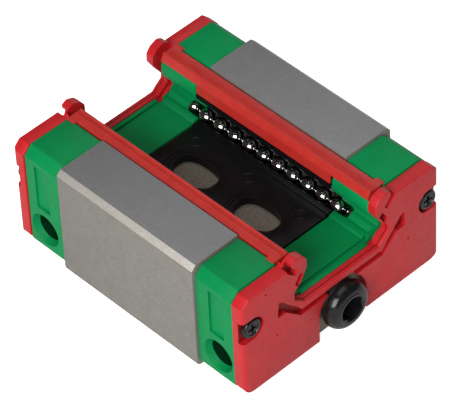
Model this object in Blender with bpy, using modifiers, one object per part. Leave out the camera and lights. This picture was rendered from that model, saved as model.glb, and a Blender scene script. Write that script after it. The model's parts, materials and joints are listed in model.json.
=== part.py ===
"""Linear guide carriage, size 20, low and short, lying on its mounting face with the rail slot upwards.

X runs along the rail (+X is the front, with the plug screw), Y across it and +Z out of the slot.
The origin is the centre of the mounting face. Lengths in this script are millimetres, and every mesh
is made in metres. "Base" is the side near the mounting face, "mouth" the side near the slot's mouth.
"""

import math

import bmesh
import bpy
from mathutils import Vector

MM = 0.001
WELD = 0.00001

# Steel block
STEEL_HALF_LENGTH = 14.75
STEEL_HALF_WIDTH = 21.0
STEEL_TOP = 21.2
STEEL_CHAMFER = 0.85
STEEL_BASE_CHAMFER = 0.6
SLOT_HALF_WIDTH = 11.4
SLOT_WALL = 11.75
SLOT_FLOOR = 10.3
MOUNT_HOLE_Y = 16.0
MOUNT_HOLE_DEPTH = 7.0
MOUNT_HOLE_RADIUS = 2.1

# Rows of balls: one base row and one mouth row on each side of the slot
BALL_RADIUS = 1.5875
BALL_PITCH = 3.2
ROW_Y = 10.0
BASE_ROW_Z = 11.7
MOUTH_ROW_Z = 17.4
ROW_BALLS = 10
TURN_BALLS = 3
TURN_RADIUS = 3.25
BASE_RETURN_ANGLE = -18.0
MOUTH_RETURN_ANGLE = 6.0
STRAIGHT_HALF_LENGTH = ROW_BALLS * BALL_PITCH / 2
RACE_RADIUS = 1.75
CHANNEL_RADIUS = 1.85

# Return tubes in the block
TUBE_BORE_RADIUS = 2.25
TUBE_OUTER_RADIUS = 2.1
TUBE_INNER_RADIUS = 1.78
TUBE_HALF_LENGTH = 14.6

# End caps
CAP_START = 14.9
CAP_END = 22.6
CAP_HALF_WIDTH = 20.6
CAP_BOTTOM = 1.0
CAP_TOP = 20.7
CAP_CHAMFER = 1.5
CAP_FLOOR = 11.8
CAP_RIB_RADIUS = 1.35
TONGUE_HALF_WIDTH = 7.1
TONGUE_ROOT = 22.2
TONGUE_END = 23.4
TONGUE_BOTTOM = 10.9
TONGUE_TOP = 11.75
FLOOR_GROOVE_START = 21.95
FLOOR_GROOVE_END = 22.7
FLOOR_GROOVE_HALF_WIDTH = 8.0
FLOOR_GROOVE_FLOOR = 11.3
LABEL_POCKET_X = 19.1
LABEL_POCKET_SIZE = (3.0, 8.7)
LABEL_POCKET_Z = 13.9
LABEL_POCKET_DEPTH = 0.45
SIDE_PORT_X = 19.2
SIDE_PORT_Z = 5.4
SIDE_PORT_MOUTH_RADIUS = 2.9
SIDE_PORT_RADIUS = 2.2
SIDE_PORT_DEPTH = 6.0
GUIDE_NOSE_RADIUS = 1.4
GUIDE_NOSE_HALF_HEIGHT = 1.65
GUIDE_WEB_HALF_WIDTH = 1.1
GUIDE_WEB_END = 16.9
GUIDE_START = 15.05
GUIDE_POCKET_MARGIN = 0.35

# End seals and the plates behind them
SEAL_START = 22.75
SEAL_END = 25.0
SEAL_HALF_WIDTH = 20.8
SEAL_BOTTOM = 0.8
SEAL_TOP = 20.5
SEAL_CHAMFER = 1.4
SEAL_CORNER_RADIUS = 1.8
SEAL_NOTCH_HALF_WIDTH = 5.0
SEAL_NOTCH_CENTRE_Z = 5.4
LIP_START = 23.4
FACE_GROOVE_FLOOR = 24.45
LIP_GAP_FLOOR = 23.8
PLATE_START = 22.8
PLATE_END = 23.8
PLATE_HALF_WIDTH = 16.0
PLATE_BOTTOM = 1.0
PLATE_TOP = 10.6
POCKET_CLEARANCE = 0.15

# End screws, in recesses that are open to the side
SCREW_Y = 18.65
SCREW_Z = 13.9
SCREW_SEAT_X = 24.0
SCREW_GAP = 0.05
SCREW_HEAD_RADIUS = 1.75
SCREW_HEAD_HEIGHT = 0.95
SCREW_SHANK_RADIUS = 1.2
SCREW_LENGTH = 14.0
SCREW_HOLE_RADIUS = 1.35
SCREW_RECESS_RADIUS = 2.15

# Grease ports on the centre line of the ends
PORT_Z = 5.6
PORT_RADIUS = 3.1
PLUG_SHANK_RADIUS = 2.9
PLUG_SEAT_X = 24.7
PLUG_HEAD_RADIUS = 4.2
PLUG_HEAD_HEIGHT = 2.4
PLUG_FACE_RADIUS = 2.85
PLUG_END_X = 18.2
HEX_RADIUS = 2.31
HEX_DEPTH = 1.7
RING_START = 23.95
RING_END = 24.6
RING_OUTER_RADIUS = 3.7
SET_SCREW_END = 22.4
SET_SCREW_START = 18.2

# Red strips along the mouth of the slot
STRIP_HALF_LENGTH = 22.5
STRIP_BAND_HALF_LENGTH = 14.5

# Black plastic in the slot
RETAINER_HALF_LENGTH = 14.6
OPENING_X = 6.75
OPENING_HALF_SIZE = (4.1, 2.6)
OPENING_ROUNDNESS = 2.6

ARC_STEPS = 8
ROUND_STEPS = 24
HOLE_STEPS = 16

# Where a ball of a chain has its rings, as shares of the ball's radius from its centre
NECK_SHARE = 0.96
OPEN_ROW_RINGS = (-NECK_SHARE, -0.6, 0.0, 0.6, NECK_SHARE)
HIDDEN_ROW_RINGS = (-NECK_SHARE, -0.4, 0.4, NECK_SHARE)

OBJECT_NAME = "linear_guide_carriage"


# ---------------------------------------------------------------- scene, materials

def clear_scene():
    for obj in list(bpy.data.objects):
        bpy.data.objects.remove(obj)


def make_collection(name):
    collection = bpy.data.collections.new(name)
    bpy.context.scene.collection.children.link(collection)
    return collection


def make_material(name, colour, roughness, metallic):
    material = bpy.data.materials.new(name)
    material.use_nodes = True
    shader = material.node_tree.nodes["Principled BSDF"]
    shader.inputs["Base Color"].default_value = (*colour, 1.0)
    shader.inputs["Roughness"].default_value = roughness
    shader.inputs["Metallic"].default_value = metallic
    return material


clear_scene()
PARTS = make_collection(OBJECT_NAME)
CUTTERS = make_collection("cutters")

LOOKS = {
    "ground_steel": ((0.30, 0.28, 0.26), 0.45, 0.9),
    "green_plastic": ((0.01, 0.27, 0.10), 0.45, 0.0),
    "red_rubber": ((0.55, 0.02, 0.02), 0.45, 0.0),
    "black_plastic": ((0.01, 0.01, 0.011), 0.35, 0.0),
    "guide_plastic": ((0.03, 0.03, 0.03), 0.5, 0.0),
    "ball_steel": ((0.55, 0.55, 0.56), 0.12, 1.0),
    "black_screw": ((0.02, 0.02, 0.022), 0.35, 0.7),
    "plate_steel": ((0.19, 0.16, 0.12), 0.5, 0.8),
}


def finish_part(obj, look, smooth=False):
    """Put a part in the object's collection, with a material of its own."""
    for collection in list(obj.users_collection):
        collection.objects.unlink(obj)
    PARTS.objects.link(obj)
    obj.data.materials.clear()
    obj.data.materials.append(make_material(obj.name + "_" + look, *LOOKS[look]))
    if smooth:
        for polygon in obj.data.polygons:
            polygon.use_smooth = True
        obj.data.set_sharp_from_angle(angle=math.radians(35.0))
    return obj


def hide_cutter(obj):
    for collection in list(obj.users_collection):
        collection.objects.unlink(obj)
    CUTTERS.objects.link(obj)
    obj.hide_render = True
    obj.display_type = "WIRE"
    return obj


def combine(target, tool, operation):
    modifier = target.modifiers.new(tool.name, "BOOLEAN")
    modifier.operation = operation
    modifier.solver = "EXACT"
    modifier.object = hide_cutter(tool)


def cut(target, tool):
    combine(target, tool, "DIFFERENCE")


def add(target, tool):
    combine(target, tool, "UNION")


# ---------------------------------------------------------------- outlines in (y, z)

def arc(centre, radius, start, end, steps=ARC_STEPS):
    """Points on an arc, both ends included, angles in degrees from +Y towards +Z."""
    points = []
    for step in range(steps + 1):
        angle = math.radians(start + (end - start) * step / steps)
        points.append((centre[0] + radius * math.cos(angle), centre[1] + radius * math.sin(angle)))
    return points


def mirrored(half):
    """Close a half outline, given from centre line to centre line, with its mirror image."""
    other = [(-y, z) for y, z in reversed(half) if abs(y) > 1e-6]
    return half + other


def flipped(outline, side):
    return [(side * y, z) for y, z in outline]


# ---------------------------------------------------------------- solids

def curve_to_mesh(obj, name):
    """Replace a curve object by a mesh object in world coordinates, with its caps welded on."""
    bpy.context.view_layer.update()
    mesh = bpy.data.meshes.new_from_object(obj)
    mesh.transform(obj.matrix_world)
    bpy.data.objects.remove(obj)
    shape = bmesh.new()
    shape.from_mesh(mesh)
    bmesh.ops.remove_doubles(shape, verts=shape.verts, dist=WELD)
    bmesh.ops.recalc_face_normals(shape, faces=shape.faces)
    shape.to_mesh(mesh)
    shape.free()
    mesh.name = name
    result = bpy.data.objects.new(name, mesh)
    bpy.context.scene.collection.objects.link(result)
    return result


def flat_curve(name, outlines, thickness):
    curve = bpy.data.curves.new(name, "CURVE")
    curve.dimensions = "2D"
    curve.fill_mode = "BOTH"
    curve.extrude = thickness * MM / 2
    for outline in outlines:
        spline = curve.splines.new("POLY")
        spline.points.add(len(outline) - 1)
        for point, (first, second) in zip(spline.points, outline):
            point.co = (first * MM, second * MM, 0.0, 1.0)
        spline.use_cyclic_u = True
    obj = bpy.data.objects.new(name + "_curve", curve)
    bpy.context.scene.collection.objects.link(obj)
    return obj


def prism_along_x(name, outlines, start, end):
    """A (y, z) outline, with any holes after it, made solid from x = start to x = end."""
    obj = flat_curve(name, outlines, end - start)
    obj.rotation_euler = (math.pi / 2, 0.0, math.pi / 2)
    obj.location = ((start + end) / 2 * MM, 0.0, 0.0)
    return curve_to_mesh(obj, name)


def prism_along_z(name, outlines, start, end):
    obj = flat_curve(name, outlines, end - start)
    obj.location = (0.0, 0.0, (start + end) / 2 * MM)
    return curve_to_mesh(obj, name)


def box(name, low, high):
    low = Vector(low)
    high = Vector(high)
    bpy.ops.mesh.primitive_cube_add(size=1.0, location=(low + high) / 2 * MM)
    obj = bpy.context.object
    obj.name = name
    obj.data.transform(obj.matrix_basis.to_3x3().to_4x4())
    for vertex in obj.data.vertices:
        for axis in range(3):
            vertex.co[axis] *= (high[axis] - low[axis]) * MM
    return obj


def cylinder(name, start, end, radius, sides=HOLE_STEPS, end_radius=None):
    """A cylinder, or a cone when end_radius is given, from one point to another."""
    start = Vector(start)
    end = Vector(end)
    direction = end - start
    bpy.ops.mesh.primitive_cone_add(
        vertices=sides,
        radius1=radius * MM,
        radius2=(radius if end_radius is None else end_radius) * MM,
        depth=direction.length * MM,
        location=(start + end) / 2 * MM,
        rotation=direction.to_track_quat("Z", "Y").to_euler(),
    )
    obj = bpy.context.object
    obj.name = name
    return obj


def turned(name, profile, origin, direction, steps=HOLE_STEPS, ring=False):
    """Turn a (radius, height) profile round its height axis, which then points along +X or -X."""
    mesh = bpy.data.meshes.new(name)
    vertices = [(radius * MM, 0.0, height * MM) for radius, height in profile]
    edges = [(index, index + 1) for index in range(len(profile) - 1)]
    if ring:
        edges.append((len(profile) - 1, 0))
    mesh.from_pydata(vertices, edges, [])
    obj = bpy.data.objects.new(name, mesh)
    bpy.context.scene.collection.objects.link(obj)
    obj.location = Vector(origin) * MM
    obj.rotation_euler = (0.0, direction * math.pi / 2, 0.0)
    screw = obj.modifiers.new("turn", "SCREW")
    screw.axis = "Z"
    screw.steps = steps
    screw.render_steps = steps
    screw.use_merge_vertices = True
    screw.merge_threshold = WELD
    return obj


def bead_chain(name, origin, balls, shares, detail):
    """Balls joined by short thin necks, as one closed tube whose radius swells at each ball.

    Each ball is (centre, direction along the chain), both measured from the chain's origin.
    """
    curve = bpy.data.curves.new(name, "CURVE")
    curve.dimensions = "3D"
    curve.bevel_depth = 1.0
    curve.bevel_resolution = detail
    curve.use_fill_caps = True
    rings = []
    for centre, direction in balls:
        for share in shares:
            offset = share * BALL_RADIUS
            radius = math.sqrt(BALL_RADIUS ** 2 - offset ** 2)
            rings.append((centre + direction * offset, radius))
    spline = curve.splines.new("POLY")
    spline.points.add(len(rings) - 1)
    for point, (place, radius) in zip(spline.points, rings):
        point.co = (*(place * MM), 1.0)
        point.radius = radius * MM
    obj = bpy.data.objects.new(name, curve)
    obj.location = origin * MM
    bpy.context.scene.collection.objects.link(obj)
    return obj


# ---------------------------------------------------------------- ball circuits

def circuits():
    """Name, load row and return row, as (y, z), of each of the four circuits."""
    rows = (("base", BASE_ROW_Z, BASE_RETURN_ANGLE), ("mouth", MOUTH_ROW_Z, MOUTH_RETURN_ANGLE))
    for side_name, side in (("left", 1), ("right", -1)):
        for row_name, row_z, angle in rows:
            angle = math.radians(angle)
            return_y = ROW_Y + 2 * TURN_RADIUS * math.cos(angle)
            return_z = row_z + 2 * TURN_RADIUS * math.sin(angle)
            load = Vector((0.0, side * ROW_Y, row_z))
            back = Vector((0.0, side * return_y, return_z))
            yield row_name + "_" + side_name, load, back


def turn_frame(load, back, end):
    """Centre of the turn at one end, the way out of the block, and the way from load to return."""
    centre = (load + back) / 2 + Vector((end * STRAIGHT_HALF_LENGTH, 0.0, 0.0))
    return centre, Vector((end, 0.0, 0.0)), (back - load).normalized()


def ball_row(name, place, shares, detail):
    along = Vector((1.0, 0.0, 0.0))
    first = -(ROW_BALLS - 1) / 2 * BALL_PITCH
    balls = [(along * (first + index * BALL_PITCH), along) for index in range(ROW_BALLS)]
    return bead_chain(name, place, balls, shares, detail)


def ball_turn(name, load, back, end):
    centre, outward, across = turn_frame(load, back, end)
    balls = []
    for index in range(TURN_BALLS):
        angle = math.pi * (index + 0.5) / TURN_BALLS
        place = (outward * math.sin(angle) - across * math.cos(angle)) * TURN_RADIUS
        direction = outward * math.cos(angle) + across * math.sin(angle)
        balls.append((place, direction))
    return bead_chain(name, centre, balls, HIDDEN_ROW_RINGS, 1)


def channel_cutter(name, load, back, end):
    """The path of the balls through an end cap: out of the load row, round, into the return."""
    centre, outward, across = turn_frame(load, back, end)
    inside = outward * (STEEL_HALF_LENGTH - 1.0 - STRAIGHT_HALF_LENGTH)
    points = [-across * TURN_RADIUS + inside]
    for step in range(ARC_STEPS + 1):
        angle = math.pi * step / ARC_STEPS
        points.append((outward * math.sin(angle) - across * math.cos(angle)) * TURN_RADIUS)
    points.append(across * TURN_RADIUS + inside)
    curve = bpy.data.curves.new(name, "CURVE")
    curve.dimensions = "3D"
    curve.bevel_depth = CHANNEL_RADIUS * MM
    curve.bevel_resolution = 2
    curve.use_fill_caps = True
    spline = curve.splines.new("POLY")
    spline.points.add(len(points) - 1)
    for point, place in zip(spline.points, points):
        point.co = (*((centre + place) * MM), 1.0)
    obj = bpy.data.objects.new(name + "_curve", curve)
    bpy.context.scene.collection.objects.link(obj)
    return curve_to_mesh(obj, name)


def build_balls():
    for name, load, back in circuits():
        loaded = ball_row("balls_" + name + "_load", load, OPEN_ROW_RINGS, 2)
        finish_part(loaded, "ball_steel")
        returning = ball_row("balls_" + name + "_return", back, HIDDEN_ROW_RINGS, 1)
        finish_part(returning, "ball_steel")
        finish_part(ball_turn("balls_" + name + "_front_turn", load, back, 1), "ball_steel")
        finish_part(ball_turn("balls_" + name + "_rear_turn", load, back, -1), "ball_steel")


# ---------------------------------------------------------------- steel block and return tubes

def steel_outline():
    base = (ROW_Y, BASE_ROW_Z)
    mouth = (ROW_Y, MOUTH_ROW_Z)
    floor_angle = -180.0 + math.degrees(math.asin((BASE_ROW_Z - SLOT_FLOOR) / RACE_RADIUS))
    half = [
        (0.0, 0.0),
        (STEEL_HALF_WIDTH - STEEL_BASE_CHAMFER, 0.0),
        (STEEL_HALF_WIDTH, STEEL_BASE_CHAMFER),
        (STEEL_HALF_WIDTH, STEEL_TOP - STEEL_CHAMFER),
        (STEEL_HALF_WIDTH - STEEL_CHAMFER, STEEL_TOP),
        (SLOT_HALF_WIDTH, STEEL_TOP),
        (SLOT_HALF_WIDTH, STEEL_TOP - 1.2),
    ]
    half += arc(mouth, RACE_RADIUS, 75.0, 0.0)
    half += arc(base, RACE_RADIUS, 0.0, floor_angle)
    half.append((0.0, SLOT_FLOOR))
    return mirrored(half)


def build_steel_block():
    block = prism_along_x("steel_block", [steel_outline()], -STEEL_HALF_LENGTH, STEEL_HALF_LENGTH)
    reach = STEEL_HALF_LENGTH + 1.0
    for name, _, back in circuits():
        ends = [Vector((x, back.y, back.z)) for x in (-reach, reach)]
        cut(block, cylinder("bore_" + name, ends[0], ends[1], TUBE_BORE_RADIUS))
    for side in (1, -1):
        y = side * MOUNT_HOLE_Y
        hole = cylinder("mount_hole", (0, y, -1.0), (0, y, MOUNT_HOLE_DEPTH), MOUNT_HOLE_RADIUS)
        cut(block, hole)
        for end in (1, -1):
            start = (end * (SCREW_SEAT_X - SCREW_LENGTH - 1.0), side * SCREW_Y, SCREW_Z)
            stop = (end * reach, side * SCREW_Y, SCREW_Z)
            cut(block, cylinder("end_hole", start, stop, SCREW_HOLE_RADIUS))
    finish_part(block, "ground_steel")


def build_return_tubes():
    profile = [
        (TUBE_OUTER_RADIUS, TUBE_HALF_LENGTH),
        (TUBE_OUTER_RADIUS, -TUBE_HALF_LENGTH),
        (TUBE_INNER_RADIUS, -TUBE_HALF_LENGTH),
        (TUBE_INNER_RADIUS, TUBE_HALF_LENGTH),
    ]
    for name, _, back in circuits():
        tube = turned("return_tube_" + name, profile, back, 1, ring=True)
        finish_part(tube, "guide_plastic", smooth=True)


# ---------------------------------------------------------------- end caps and return guides

def cap_outline():
    base = (ROW_Y, BASE_ROW_Z)
    mouth = (ROW_Y, MOUTH_ROW_Z)
    half = [
        (0.0, CAP_BOTTOM),
        (CAP_HALF_WIDTH - 0.8, CAP_BOTTOM),
        (CAP_HALF_WIDTH, CAP_BOTTOM + 0.8),
        (CAP_HALF_WIDTH, CAP_TOP - CAP_CHAMFER),
        (CAP_HALF_WIDTH - CAP_CHAMFER, CAP_TOP),
        (SLOT_HALF_WIDTH, CAP_TOP),
        (SLOT_HALF_WIDTH, 19.25),
        (8.6, 19.25),
        (8.35, 19.0),
        (8.35, 17.7),
    ]
    half += arc(mouth, CAP_RIB_RADIUS, 180.0, 270.0, 5)
    half += [(10.25, 15.8), (10.25, 13.3)]
    half += arc(base, CAP_RIB_RADIUS, 90.0, 165.0, 5)
    half += [(8.45, 12.0), (8.25, 12.2), (7.4, 12.05), (7.2, CAP_FLOOR), (0.0, CAP_FLOOR)]
    return mirrored(half)


def cut_side_details(cap, end, side):
    """A shallow label pocket, and below it a lubrication port with a tapered mouth."""
    half_x = LABEL_POCKET_SIZE[0] / 2
    half_z = LABEL_POCKET_SIZE[1] / 2
    depths = sorted((side * (CAP_HALF_WIDTH - LABEL_POCKET_DEPTH), side * (CAP_HALF_WIDTH + 1.0)))
    low = (end * LABEL_POCKET_X - half_x, depths[0], LABEL_POCKET_Z - half_z)
    high = (end * LABEL_POCKET_X + half_x, depths[1], LABEL_POCKET_Z + half_z)
    cut(cap, box("label_pocket", low, high))
    x = end * SIDE_PORT_X
    outside = (x, side * (CAP_HALF_WIDTH + 0.3), SIDE_PORT_Z)
    throat = (x, side * (CAP_HALF_WIDTH - 1.2), SIDE_PORT_Z)
    taper = SIDE_PORT_MOUTH_RADIUS - SIDE_PORT_RADIUS
    mouth_radius = SIDE_PORT_MOUTH_RADIUS + taper * 0.3 / 1.2
    mouth = cylinder("port_mouth", outside, throat, mouth_radius, end_radius=SIDE_PORT_RADIUS)
    cut(cap, mouth)
    bottom = (x, side * (CAP_HALF_WIDTH - SIDE_PORT_DEPTH), SIDE_PORT_Z)
    cut(cap, cylinder("port_hole", outside, bottom, SIDE_PORT_RADIUS))


def guide_shapes(name, end, side, start, margin=0.0):
    """The web and the two noses of a return guide, or of its pocket when a margin is given."""
    noses = []
    middles = []
    half_height = GUIDE_NOSE_HALF_HEIGHT + margin
    for circuit, load, back in circuits():
        if load.y * side < 0:
            continue
        centre, _, across = turn_frame(load, back, end)
        axis = Vector((0.0, -across.z, across.y))
        middles.append(centre)
        bottom = centre - axis * half_height
        top = centre + axis * half_height
        noses.append(cylinder(name + circuit, bottom, top, GUIDE_NOSE_RADIUS + margin))
    width = GUIDE_WEB_HALF_WIDTH + margin
    middle_y = (middles[0].y + middles[1].y) / 2
    xs = sorted((end * start, end * (GUIDE_WEB_END + margin)))
    low = (xs[0], middle_y - width, middles[0].z)
    high = (xs[1], middle_y + width, middles[1].z)
    return box(name, low, high), noses


def add_floor_tongue(cap, end):
    """The slot's floor runs on as a tongue under the seal's lip, with a groove across its root."""
    xs = sorted((end * TONGUE_ROOT, end * TONGUE_END))
    low = (xs[0], -TONGUE_HALF_WIDTH, TONGUE_BOTTOM)
    high = (xs[1], TONGUE_HALF_WIDTH, TONGUE_TOP)
    add(cap, box(cap.name + "_tongue", low, high))
    xs = sorted((end * FLOOR_GROOVE_START, end * FLOOR_GROOVE_END))
    low = (xs[0], -FLOOR_GROOVE_HALF_WIDTH, FLOOR_GROOVE_FLOOR)
    high = (xs[1], FLOOR_GROOVE_HALF_WIDTH, CAP_FLOOR + 1.0)
    cut(cap, box(cap.name + "_floor_groove", low, high))


def build_end_cap(name, end):
    xs = sorted((end * CAP_START, end * CAP_END))
    cap = prism_along_x(name, [cap_outline()], xs[0], xs[1])
    add_floor_tongue(cap, end)
    for circuit, load, back in circuits():
        cut(cap, channel_cutter(name + "_channel_" + circuit, load, back, end))
    for side in (1, -1):
        pocket, noses = guide_shapes(name + "_pocket", end, side, 14.0, GUIDE_POCKET_MARGIN)
        cut(cap, pocket)
        for nose in noses:
            cut(cap, nose)
        cut_side_details(cap, end, side)
        inner = (end * (CAP_START - 1.0), side * SCREW_Y, SCREW_Z)
        outer = (end * (CAP_END + 1.0), side * SCREW_Y, SCREW_Z)
        cut(cap, cylinder("cap_hole", inner, outer, SCREW_HOLE_RADIUS))
    port = cylinder("grease_port", (end * 17.6, 0, PORT_Z), (end * (CAP_END + 1.0), 0, PORT_Z), PORT_RADIUS)
    cut(cap, port)
    finish_part(cap, "green_plastic")


def build_return_guide(name, end, side):
    guide, noses = guide_shapes(name, end, side, GUIDE_START)
    for nose in noses:
        add(guide, nose)
    xs = sorted((end * GUIDE_START, end * (GUIDE_START - 4.0)))
    ys = sorted((side * 8.0, side * 18.0))
    cut(guide, box(name + "_back", (xs[0], ys[0], 5.0), (xs[1], ys[1], STEEL_TOP)))
    finish_part(guide, "guide_plastic")


# ---------------------------------------------------------------- end seals

def seal_outline():
    """The whole seal with its lip, which has a rounded knob at each corner of the slot's mouth."""
    notch = (0.0, SEAL_NOTCH_CENTRE_Z)
    corner = (SEAL_HALF_WIDTH - SEAL_CORNER_RADIUS, SEAL_BOTTOM + SEAL_CORNER_RADIUS)
    half = arc(notch, SEAL_NOTCH_HALF_WIDTH, 90.0, 0.0)
    half.append((SEAL_NOTCH_HALF_WIDTH, SEAL_BOTTOM))
    half += arc(corner, SEAL_CORNER_RADIUS, -90.0, 0.0, 4)
    half += [
        (SEAL_HALF_WIDTH, SEAL_TOP - SEAL_CHAMFER),
        (SEAL_HALF_WIDTH - SEAL_CHAMFER, SEAL_TOP),
        (11.15, SEAL_TOP),
        (10.85, 21.15),
        (10.2, 21.6),
        (9.2, 21.8),
        (8.1, 21.3),
        (7.3, 20.3),
        (7.2, 18.9),
        (7.6, 18.0),
        (8.5, 16.5),
        (9.95, 15.1),
        (9.95, 13.7),
        (9.7, 13.1),
        (8.8, 12.6),
        (7.9, 11.75),
        (0.0, 11.75),
    ]
    return mirrored(half)


def relief_outline():
    """The slot as it is behind the lip, where the seal's body stands back from it."""
    half = [
        (0.0, 11.3),
        (8.6, 11.3),
        (9.4, 12.2),
        (10.7, 12.7),
        (11.3, 13.6),
        (11.2, 16.0),
        (9.5, 17.0),
        (9.4, 18.7),
        (11.0, 20.1),
        (11.0, 23.0),
        (0.0, 23.0),
    ]
    return mirrored(half)


def face_groove_outline():
    """The groove in the seal's face that sets the lip off, widening to a wedge beside the slot."""
    half = [
        (0.0, 9.35),
        (8.8, 9.5),
        (10.4, 10.95),
        (11.8, 12.3),
        (13.6, 12.35),
        (13.3, 15.4),
        (12.5, 15.0),
        (11.0, 13.3),
        (9.6, 11.9),
        (8.6, 10.65),
        (0.0, 10.65),
    ]
    return mirrored(half)


def lip_gap_outlines():
    """The two gaps that free the lip's knob: one beside it, open upwards, and one below it."""
    beside = [(11.25, 22.5), (11.25, 19.9), (9.7, 18.5), (9.15, 19.2), (10.4, 20.6), (10.75, 22.5)]
    below = [(8.75, 18.4), (8.0, 17.8), (9.1, 15.9), (9.85, 16.55)]
    return beside, below


def cut_seal_face(seal, end):
    xs = sorted((end * FACE_GROOVE_FLOOR, end * (SEAL_END + 1.0)))
    cut(seal, prism_along_x(seal.name + "_groove", [face_groove_outline()], xs[0], xs[1]))
    xs = sorted((end * LIP_GAP_FLOOR, end * (SEAL_END + 1.0)))
    for side in (1, -1):
        for gap in lip_gap_outlines():
            cut(seal, prism_along_x(seal.name + "_gap", [flipped(gap, side)], xs[0], xs[1]))


def cut_seal_back(seal, end):
    """Room for the backing plate, above it for the end cap's tongue, and behind the lip."""
    xs = sorted((end * (SEAL_START - 1.0), end * (PLATE_END + POCKET_CLEARANCE)))
    half_width = PLATE_HALF_WIDTH + POCKET_CLEARANCE
    top = PLATE_TOP + POCKET_CLEARANCE
    cut(seal, box(seal.name + "_pocket", (xs[0], -half_width, -1.0), (xs[1], half_width, top)))
    xs = sorted((end * (SEAL_START - 1.2), end * (TONGUE_END + POCKET_CLEARANCE)))
    half_width = TONGUE_HALF_WIDTH + POCKET_CLEARANCE
    cut(seal, box(seal.name + "_tongue_room", (xs[0], -half_width, top - 1.0), (xs[1], half_width, 14.0)))
    xs = sorted((end * (SEAL_START - 0.8), end * LIP_START))
    cut(seal, prism_along_x(seal.name + "_relief", [relief_outline()], xs[0], xs[1]))


def cut_screw_seat(seal, end, side):
    half = arc((SCREW_Y, SCREW_Z), SCREW_RECESS_RADIUS, 90.0, 270.0)
    reach = SEAL_HALF_WIDTH + 1.0
    half += [(reach, SCREW_Z - SCREW_RECESS_RADIUS), (reach, SCREW_Z + SCREW_RECESS_RADIUS)]
    xs = sorted((end * SCREW_SEAT_X, end * (SEAL_END + 1.0)))
    cut(seal, prism_along_x(seal.name + "_recess", [flipped(half, side)], xs[0], xs[1]))
    inner = (end * (SEAL_START - 1.0), side * SCREW_Y, SCREW_Z)
    outer = (end * (SEAL_END + 1.0), side * SCREW_Y, SCREW_Z)
    cut(seal, cylinder("seal_hole", inner, outer, SCREW_HOLE_RADIUS))


def build_end_seal(name, end):
    xs = sorted((end * SEAL_START, end * SEAL_END))
    seal = prism_along_x(name, [seal_outline()], xs[0], xs[1])
    cut_seal_face(seal, end)
    cut_seal_back(seal, end)
    for side in (1, -1):
        cut_screw_seat(seal, end, side)
    finish_part(seal, "red_rubber")


def build_backing_plate(name, end):
    xs = sorted((end * PLATE_START, end * PLATE_END))
    low = (xs[0], -PLATE_HALF_WIDTH, PLATE_BOTTOM)
    high = (xs[1], PLATE_HALF_WIDTH, PLATE_TOP)
    plate = box(name, low, high)
    inner = (end * (PLATE_START - 1.0), 0, PORT_Z)
    outer = (end * (PLATE_END + 1.0), 0, PORT_Z)
    cut(plate, cylinder("plate_hole", inner, outer, PORT_RADIUS))
    finish_part(plate, "plate_steel")


# ---------------------------------------------------------------- fasteners and plugs

def build_end_screw(name, end, side):
    head = SCREW_HEAD_HEIGHT
    profile = [
        (0.0, head),
        (SCREW_HEAD_RADIUS - 0.4, head),
        (SCREW_HEAD_RADIUS, head - 0.35),
        (SCREW_HEAD_RADIUS, 0.0),
        (SCREW_SHANK_RADIUS, 0.0),
        (SCREW_SHANK_RADIUS, -SCREW_LENGTH + 0.5),
        (SCREW_SHANK_RADIUS - 0.5, -SCREW_LENGTH),
        (0.0, -SCREW_LENGTH),
    ]
    seat = SCREW_SEAT_X + SCREW_GAP
    screw = turned(name, profile, (end * seat, side * SCREW_Y, SCREW_Z), end, steps=12)
    top = seat + head
    xs = sorted((end * (top - 0.7), end * (top + 0.5)))
    for wide, high in ((1.2, 0.3), (0.3, 1.2)):
        low = (xs[0], side * SCREW_Y - wide, SCREW_Z - high)
        far = (xs[1], side * SCREW_Y + wide, SCREW_Z + high)
        cut(screw, box(name + "_recess", low, far))
    finish_part(screw, "black_screw", smooth=True)


def hex_cutter(name, face, direction):
    start = (face - direction * HEX_DEPTH, 0, PORT_Z)
    stop = (face + direction, 0, PORT_Z)
    return cylinder(name, start, stop, HEX_RADIUS, sides=6)


def build_plug_screw(name):
    """Button-head screw in the front grease port."""
    top = PLUG_HEAD_HEIGHT
    profile = [(0.0, top), (PLUG_FACE_RADIUS, top)]
    for step in range(1, 5):
        angle = math.radians(90.0 * step / 5)
        bulge = PLUG_HEAD_RADIUS - PLUG_FACE_RADIUS
        profile.append((PLUG_FACE_RADIUS + bulge * math.sin(angle), 0.4 + (top - 0.4) * math.cos(angle)))
    profile += [
        (PLUG_HEAD_RADIUS, 0.4),
        (PLUG_HEAD_RADIUS - 0.25, 0.0),
        (PLUG_SHANK_RADIUS, 0.0),
        (PLUG_SHANK_RADIUS, PLUG_END_X - PLUG_SEAT_X),
        (0.0, PLUG_END_X - PLUG_SEAT_X),
    ]
    screw = turned(name, profile, (PLUG_SEAT_X, 0, PORT_Z), 1, steps=ROUND_STEPS)
    cut(screw, hex_cutter(name + "_socket", PLUG_SEAT_X + PLUG_HEAD_HEIGHT, 1))
    finish_part(screw, "black_screw", smooth=True)


def build_plug_ring(name):
    inner = PLUG_SHANK_RADIUS + 0.1
    profile = [
        (RING_OUTER_RADIUS, RING_END),
        (RING_OUTER_RADIUS, RING_START),
        (inner, RING_START),
        (inner, RING_END),
    ]
    ring = turned(name, profile, (0, 0, PORT_Z), 1, ring=True)
    finish_part(ring, "guide_plastic", smooth=True)


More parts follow.
